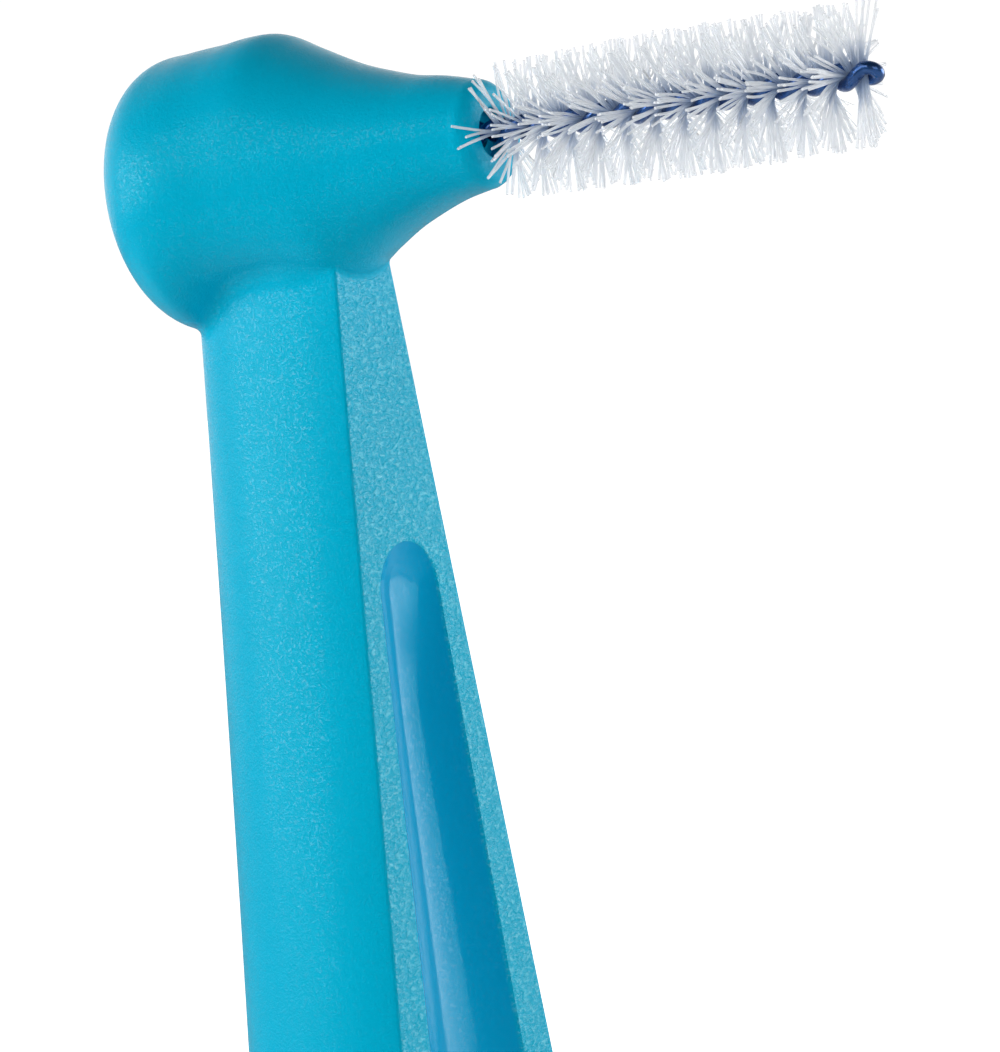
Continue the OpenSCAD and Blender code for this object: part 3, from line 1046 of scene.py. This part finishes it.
def ranged(tree, value, low, high, start=0.0, end=1.0, **settings):
    """Value that goes from low to high as another goes from start to end"""
    return add_node(tree, "ShaderNodeMapRange", {"Value": value, "From Min": start, "From Max": end,
                                                 "To Min": low, "To Max": high}, **settings).outputs[0]


def blend(tree, part, first, second):
    """Colour that goes from the first to the second as a share goes from 0 to 1"""
    return add_node(tree, "ShaderNodeMix", {0: part, 6: rgba(first), 7: rgba(second)},
                    data_type="RGBA").outputs[2]


def patterned(tree, part, colour, shade):
    """Colour that a pattern takes to a darker or lighter shade of itself"""
    return blend(tree, part, colour, [c * shade for c in colour])


def clouds(tree, vector, per_metre):
    """Soft noise"""
    return add_node(tree, "ShaderNodeTexNoise", {"Vector": vector, "Scale": per_metre}).outputs["Fac"]


def bumped(tree, height, depth):
    """Normal of a surface whose pattern is that deep"""
    return add_node(tree, "ShaderNodeBump", {"Height": height, "Distance": depth}).outputs["Normal"]


def feed(tree, shader, **sockets):
    """Joins sockets to the shader's inputs of these names"""
    for name, socket in sockets.items():
        tree.links.new(socket, shader.inputs[name.replace("_", " ")])


def grain_group():
    """Node group: fine moulded grain, as a height and as a mask of its peaks"""
    name = "Moulded grain"
    if name in bpy.data.node_groups:
        return bpy.data.node_groups[name]
    group = bpy.data.node_groups.new(name, "ShaderNodeTree")
    for label, side, kind in (("Vector", "INPUT", "NodeSocketVector"),
                              ("Grains per mm", "INPUT", "NodeSocketFloat"),
                              ("Height", "OUTPUT", "NodeSocketFloat"),
                              ("Peaks", "OUTPUT", "NodeSocketFloat")):
        group.interface.new_socket(name=label, in_out=side, socket_type=kind)
    entry = group.nodes.new("NodeGroupInput").outputs
    leave = group.nodes.new("NodeGroupOutput").inputs
    scale = product(group, entry["Grains per mm"], 1 / MM)
    noise = add_node(group, "ShaderNodeTexNoise", {"Vector": entry["Vector"], "Scale": scale,
                                                   "Roughness": 0.6}).outputs["Fac"]
    group.links.new(ranged(group, noise, 0.0, 1.0, *HEIGHT_BAND), leave["Height"])
    group.links.new(ranged(group, noise, 0.0, 1.0, *PEAK_BAND), leave["Peaks"])
    return group


def grain(tree, vector, per_mm):
    """Outputs of the grain group, placed in a material"""
    node = tree.nodes.new("ShaderNodeGroup")
    node.node_tree = grain_group()
    tree.links.new(vector, node.inputs["Vector"])
    node.inputs["Grains per mm"].default_value = per_mm
    return node.outputs


def body_plastic(colours):
    """Cyan plastic: satin with a fine grain, a coarse grain on the flat face with a painted sheen on its
    peaks, polished in the groove with painted shade there
    """
    material, tree, shader = new_material("body_plastic", Specular_IOR_Level=0.12, Coat_Roughness=0.2,
                                          Specular_Tint=rgba(GLOSS_TINT))
    place = object_place(tree)
    on_face = add_node(tree, "ShaderNodeAttribute", attribute_name="grain").outputs["Fac"]
    polish_and_shade = add_node(tree, "ShaderNodeAttribute", attribute_name="polish_and_shade").outputs["Fac"]
    drawn = add_node(tree, "ShaderNodeMapping", {"Vector": place, "Scale": FACE_SCALE}).outputs[0]
    coarse = grain(tree, drawn, FACE_GRAINS)
    fine = grain(tree, place, SKIN_GRAINS)
    tint = patterned(tree, clouds(tree, place, BODY_CLOUDS), colours.body, BODY_SHADE)
    # Painted shade: the groove's mask also takes its colour to a deeper blue
    deep = blend(tree, polish_and_shade, tint, colours.groove)
    # Painted sheen: paler cyan on the peaks of the flat face's coarse grain
    sheen_painted = blend(tree, product(tree, on_face, coarse["Peaks"]), deep, colours.face_sheen)
    height = add_node(tree, "ShaderNodeMix", {0: on_face, 2: product(tree, fine["Height"], SKIN_RELIEF),
                                              3: coarse["Height"]}, data_type="FLOAT").outputs[0]
    unpolished = ranged(tree, polish_and_shade, 1.0, 0.0)
    feed(tree, shader, Base_Color=sheen_painted, Coat_Weight=product(tree, fine["Peaks"], SPECKS),
         Roughness=ranged(tree, polish_and_shade, *BODY_ROUGHNESS),
         Normal=bumped(tree, product(tree, height, unpolished), FACE_RELIEF))
    return material


def wire_coat(colours):
    """Dark blue glossy coating with the slight waviness of a dipped wire, and a painted sheen of lighter blue
    on its ripples
    """
    material, tree, shader = new_material("wire_coat", Metallic=0.7, Coat_Weight=0.8, Coat_Roughness=0.06)
    ripple = grain(tree, object_place(tree), COAT_GRAINS)
    feed(tree, shader, Base_Color=patterned(tree, ripple["Height"], colours.coat, COAT_SHEEN),
         Roughness=ranged(tree, ripple["Peaks"], *COAT_ROUGHNESS),
         Normal=bumped(tree, ripple["Height"], COAT_RELIEF))
    return material


def drawn_steel(colours):
    """Bare drawn wire with fine marks"""
    material, tree, shader = new_material("drawn_steel", Metallic=1.0)
    marks = grain(tree, object_place(tree), STEEL_GRAINS)
    feed(tree, shader, Base_Color=patterned(tree, marks["Peaks"], colours.steel, STEEL_SHADE),
         Roughness=ranged(tree, marks["Height"], *STEEL_ROUGHNESS))
    return material


def nylon(colours, s):
    """Clear nylon with a faint painted glow, and painted shade tinted blue close to the wire"""
    # The nylon glows faintly: painted light that brightens the filaments
    material, tree, shader = new_material("nylon", IOR=1.45, Transmission_Weight=0.3, Alpha=0.62,
                                          Emission_Strength=0.08)
    place = object_place(tree)
    centred = add_node(tree, "ShaderNodeMapping", {"Vector": place, "Location": (0, 0, -s.axis_height)})
    flat = add_node(tree, "ShaderNodeVectorMath", {0: centred.outputs[0], 1: (0, 1, 1)}, operation="MULTIPLY")
    away = add_node(tree, "ShaderNodeVectorMath", {0: flat.outputs[0]}, operation="LENGTH").outputs["Value"]
    uneven = grain(tree, place, NYLON_GRAINS)
    # Painted shade near the wire, fading out with distance from its axis
    clear = product(tree, ranged(tree, away, 0.0, 1.0, *WIRE_SHADE_FADE),
                    ranged(tree, uneven["Height"], WIRE_SHADE_EVENNESS, 1.0))
    tint = blend(tree, clear, colours.nylon_shade, colours.nylon)
    # The glow takes the same colour, painted shade near the wire included
    feed(tree, shader, Base_Color=tint, Emission_Color=tint,
         Roughness=ranged(tree, uneven["Peaks"], *NYLON_ROUGHNESS))
    return material


def seen_directly(tree):
    """1 where a ray comes from the camera, or from it through clear nylon"""
    path = add_node(tree, "ShaderNodeLightPath").outputs
    return add_node(tree, "ShaderNodeMath", {0: path["Is Camera Ray"], 1: path["Is Transmission Ray"]},
                    operation="MAXIMUM").outputs[0]


def floor_paint(colours):
    """Pale floor with a faint unevenness"""
    material, tree, shader = new_material("floor_paint", Specular_IOR_Level=0.1, Roughness=0.9,
                                          Emission_Color=WHITE)
    cloud = clouds(tree, object_place(tree), FLOOR_CLOUDS)
    feed(tree, shader, Base_Color=patterned(tree, cloud, colours.floor, FLOOR_SHADE),
         Emission_Strength=product(tree, seen_directly(tree), FLOOR_GLOW))
    return material


# Stage

# Floor, in metres: its radius and the width of its rings
FLOOR_RADIUS = 3.0
FLOOR_STEP = 0.2
FLOOR_RINGS = 5
FLOOR_SIDES = 96
# Heights between which the room dims, as the sine of the angle above or below level
DIM_BAND = (0.25, 0.75)
# Cosines of the angle from straight behind the object between which the backdrop begins
SWEEP_BAND = (0.1, 0.6)
# Brightness of the backdrop to the camera
BACKDROP = 1.05
# Nearest distance that the camera shows
NEAREST = 10 * MM


def direction(turned, height):
    """Direction at an angle to the right of straight at the near side, and one above level"""
    return Vector((math.sin(turned) * math.cos(height), -math.cos(turned) * math.cos(height),
                   math.sin(height)))


def lay_floor(scene):
    """Round pale floor under the object"""
    bm = bmesh.new()
    bmesh.ops.create_circle(bm, segments=FLOOR_SIDES, radius=FLOOR_RADIUS, cap_ends=True)
    for _ in range(FLOOR_RINGS):
        middle = max(bm.faces, key=lambda f: f.calc_area())
        bmesh.ops.inset_individual(bm, faces=[middle], thickness=FLOOR_STEP)
    mesh = bpy.data.meshes.new("floor")
    bm.to_mesh(mesh)
    bm.free()
    mesh.materials.append(floor_paint(scene.brush_finishes))
    floor = bpy.data.objects.new("floor", mesh)
    scene.collection.objects.link(floor)


def light_world(scene):
    """White backdrop for the camera; for light, a room bright behind the object and dim above it"""
    studio = scene.brush_studio
    world = bpy.data.worlds.new("studio")
    scene.world = world
    world.use_nodes = True
    tree = world.node_tree
    tree.nodes.clear()
    toward = add_node(tree, "ShaderNodeTexCoord").outputs["Generated"]
    parts = add_node(tree, "ShaderNodeSeparateXYZ", {0: toward})
    height = add_node(tree, "ShaderNodeMath", {0: parts.outputs["Z"]}, operation="ABSOLUTE").outputs[0]
    level = ranged(tree, height, 1.0, studio.ceiling, *DIM_BAND, interpolation_type="SMOOTHSTEP")
    behind = add_node(tree, "ShaderNodeVectorMath", {0: toward, 1: -direction(studio.azimuth, 0)},
                      operation="DOT_PRODUCT").outputs["Value"]
    around = ranged(tree, behind, studio.room, studio.sweep, *SWEEP_BAND, interpolation_type="SMOOTHSTEP")
    room = add_node(tree, "ShaderNodeBackground", {"Color": WHITE, "Strength": product(tree, level, around)})
    backdrop = add_node(tree, "ShaderNodeBackground", {"Color": WHITE, "Strength": BACKDROP})
    both = add_node(tree, "ShaderNodeMixShader", {0: seen_directly(tree), 1: room.outputs[0],
                                                  2: backdrop.outputs[0]})
    add_node(tree, "ShaderNodeOutputWorld", {"Surface": both.outputs[0]})


def add_light(scene, name, place, target, power):
    """Soft light, wide and low, that faces a target"""
    data = bpy.data.lights.new(name, "AREA")
    data.shape = "RECTANGLE"
    data.size = scene.brush_studio.light_width
    data.size_y = scene.brush_studio.light_tall
    data.energy = power
    lamp = bpy.data.objects.new(name, data)
    lamp.location = place
    lamp.rotation_euler = (target - place).to_track_quat("-Z", "Y").to_euler()
    scene.collection.objects.link(lamp)


def hang_lights(scene):
    """Soft lights at the left, weaker ones above left and at the right, and one behind at the right"""
    studio = scene.brush_studio
    middle = Vector((0, 0, scene.brush_handle.axis_height))
    for name, turned, height, power in (
            ("key_light", -studio.key_turn, studio.key_height, studio.key),
            ("nose_light", -studio.nose_turn, studio.nose_height, studio.nose),
            ("fill_light", studio.fill_turn, studio.key_height, studio.fill),
            ("rim_light", studio.rim_turn, studio.rim_height, studio.rim)):
        toward = direction(studio.azimuth + turned, height)
        add_light(scene, name, middle + toward * studio.light_distance, middle, power)


def place_camera(scene):
    """Camera that shows the object as the photograph does"""
    studio = scene.brush_studio
    a, r = studio.azimuth, studio.roll
    back = direction(a, studio.elevation)
    level = Vector((math.cos(a), math.sin(a), 0))
    upright = back.cross(level)
    right = level * math.cos(r) + upright * math.sin(r)
    up = upright * math.cos(r) - level * math.sin(r)
    aim = Vector((studio.aim_x, 0, scene.brush_handle.axis_height))
    aside = (AIM_PIXEL[0] - FRAME_WIDTH / 2) / FOCAL_PIXELS * studio.distance
    above = (FRAME_HEIGHT / 2 - AIM_PIXEL[1]) / FOCAL_PIXELS * studio.distance
    data = bpy.data.cameras.new("camera")
    data.sensor_width = studio.sensor
    data.lens = FOCAL_PIXELS / FRAME_HEIGHT * studio.sensor
    data.clip_start = NEAREST
    camera = bpy.data.objects.new("camera", data)
    place = aim + back * studio.distance - right * aside - up * above
    turned = Matrix((right, up, back)).transposed().to_4x4()
    camera.matrix_world = Matrix.Translation(place) @ turned
    scene.collection.objects.link(camera)
    scene.camera = camera
    scene.view_settings.view_transform = "Standard"


# Operators

def nose_point(scene):
    """Point on the brush's axis at the nose"""
    s = scene.brush_handle
    return Vector((s.face_x + scene.brush_head.nose_reach, 0, s.axis_height))


class MakeHandle(bpy.types.Operator):
    """Models the handle and its head as one moulding"""

    bl_idname = "interdental_brush.handle"
    bl_label = "Handle"

    def execute(self, context):
        scene = context.scene
        bm = build_handle(scene.brush_head, scene.brush_handle)
        finished_piece(bm, "moulded_handle", body_plastic(scene.brush_finishes), HANDLE_CREASE,
                       ["handle"])
        return {"FINISHED"}


class FinishWire(bpy.types.Operator):
    """Gives the bare wire its steel"""

    bl_idname = "interdental_brush.bare_wire"
    bl_label = "Bare wire"

    def execute(self, context):
        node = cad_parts["wire_core"]
        node.data.materials.clear()
        node.data.materials.append(drawn_steel(context.scene.brush_finishes))
        return {"FINISHED"}


class MakeCoating(bpy.types.Operator):
    """Models the coated, doubled and twisted wire"""

    bl_idname = "interdental_brush.coating"
    bl_label = "Wire coating"

    def execute(self, context):
        scene = context.scene
        wire = scene.brush_wire
        bm = bmesh.new()
        sweep(bm, wire_route(wire, nose_point(scene)), wire.strand_radius, STRAND_SIDES)
        finished_piece(bm, "coated_wire", wire_coat(scene.brush_finishes), ROUND_CREASE,
                       ["wire_coating"])
        return {"FINISHED"}


class MakeFilaments(bpy.types.Operator):
    """Models the nylon filaments held between the strands of the wire"""

    bl_idname = "interdental_brush.filaments"
    bl_label = "Filaments"

    def execute(self, context):
        scene = context.scene
        bm = build_filaments(scene.brush_filaments, scene.brush_wire, nose_point(scene))
        material = nylon(scene.brush_finishes, scene.brush_handle)
        finished_piece(bm, "nylon_filaments", material, ROUND_CREASE, ["filaments"])
        return {"FINISHED"}


class SetStage(bpy.types.Operator):
    """Sets the floor, the soft light and the camera"""

    bl_idname = "interdental_brush.stage"
    bl_label = "Stage"

    def execute(self, context):
        scene = context.scene
        lay_floor(scene)
        light_world(scene)
        hang_lights(scene)
        place_camera(scene)
        return {"FINISHED"}


# Panel

class BrushPanel(bpy.types.Panel):
    """Lists the brush's pieces and their sizes"""

    bl_idname = "VIEW3D_PT_interdental_brush"
    bl_label = "Interdental Brush"
    bl_space_type = "VIEW_3D"
    bl_region_type = "UI"
    bl_category = "Brush"

    def draw(self, context):
        for operator in OPERATORS:
            self.layout.operator(operator.bl_idname)
        for name, group in GROUPS.items():
            column = self.layout.column(align=True)
            column.label(text=group.__doc__)
            for key in group.__annotations__:
                column.prop(getattr(context.scene, name), key)


GROUPS = {"brush_handle": HandleSizes, "brush_head": HeadSizes, "brush_wire": WireSizes,
          "brush_filaments": FilamentSizes, "brush_finishes": Finishes, "brush_studio": Studio}
OPERATORS = (MakeHandle, FinishWire, MakeCoating, MakeFilaments, SetStage)


def register():
    """Registers the settings, the operators and the panel"""
    for kind in (*GROUPS.values(), *OPERATORS, BrushPanel):
        bpy.utils.register_class(kind)
    for name, group in GROUPS.items():
        setattr(bpy.types.Scene, name, bpy.props.PointerProperty(type=group))


def unregister():
    """Takes them away again"""
    for name in GROUPS:
        delattr(bpy.types.Scene, name)
    for kind in (BrushPanel, *reversed(OPERATORS), *reversed(list(GROUPS.values()))):
        bpy.utils.unregister_class(kind)


def main():
    """Makes every piece in order"""
    register()
    bpy.ops.interdental_brush.handle()
    bpy.ops.interdental_brush.bare_wire()
    bpy.ops.interdental_brush.coating()
    bpy.ops.interdental_brush.filaments()
    bpy.ops.interdental_brush.stage()


if __name__ == "__main__":
    main()
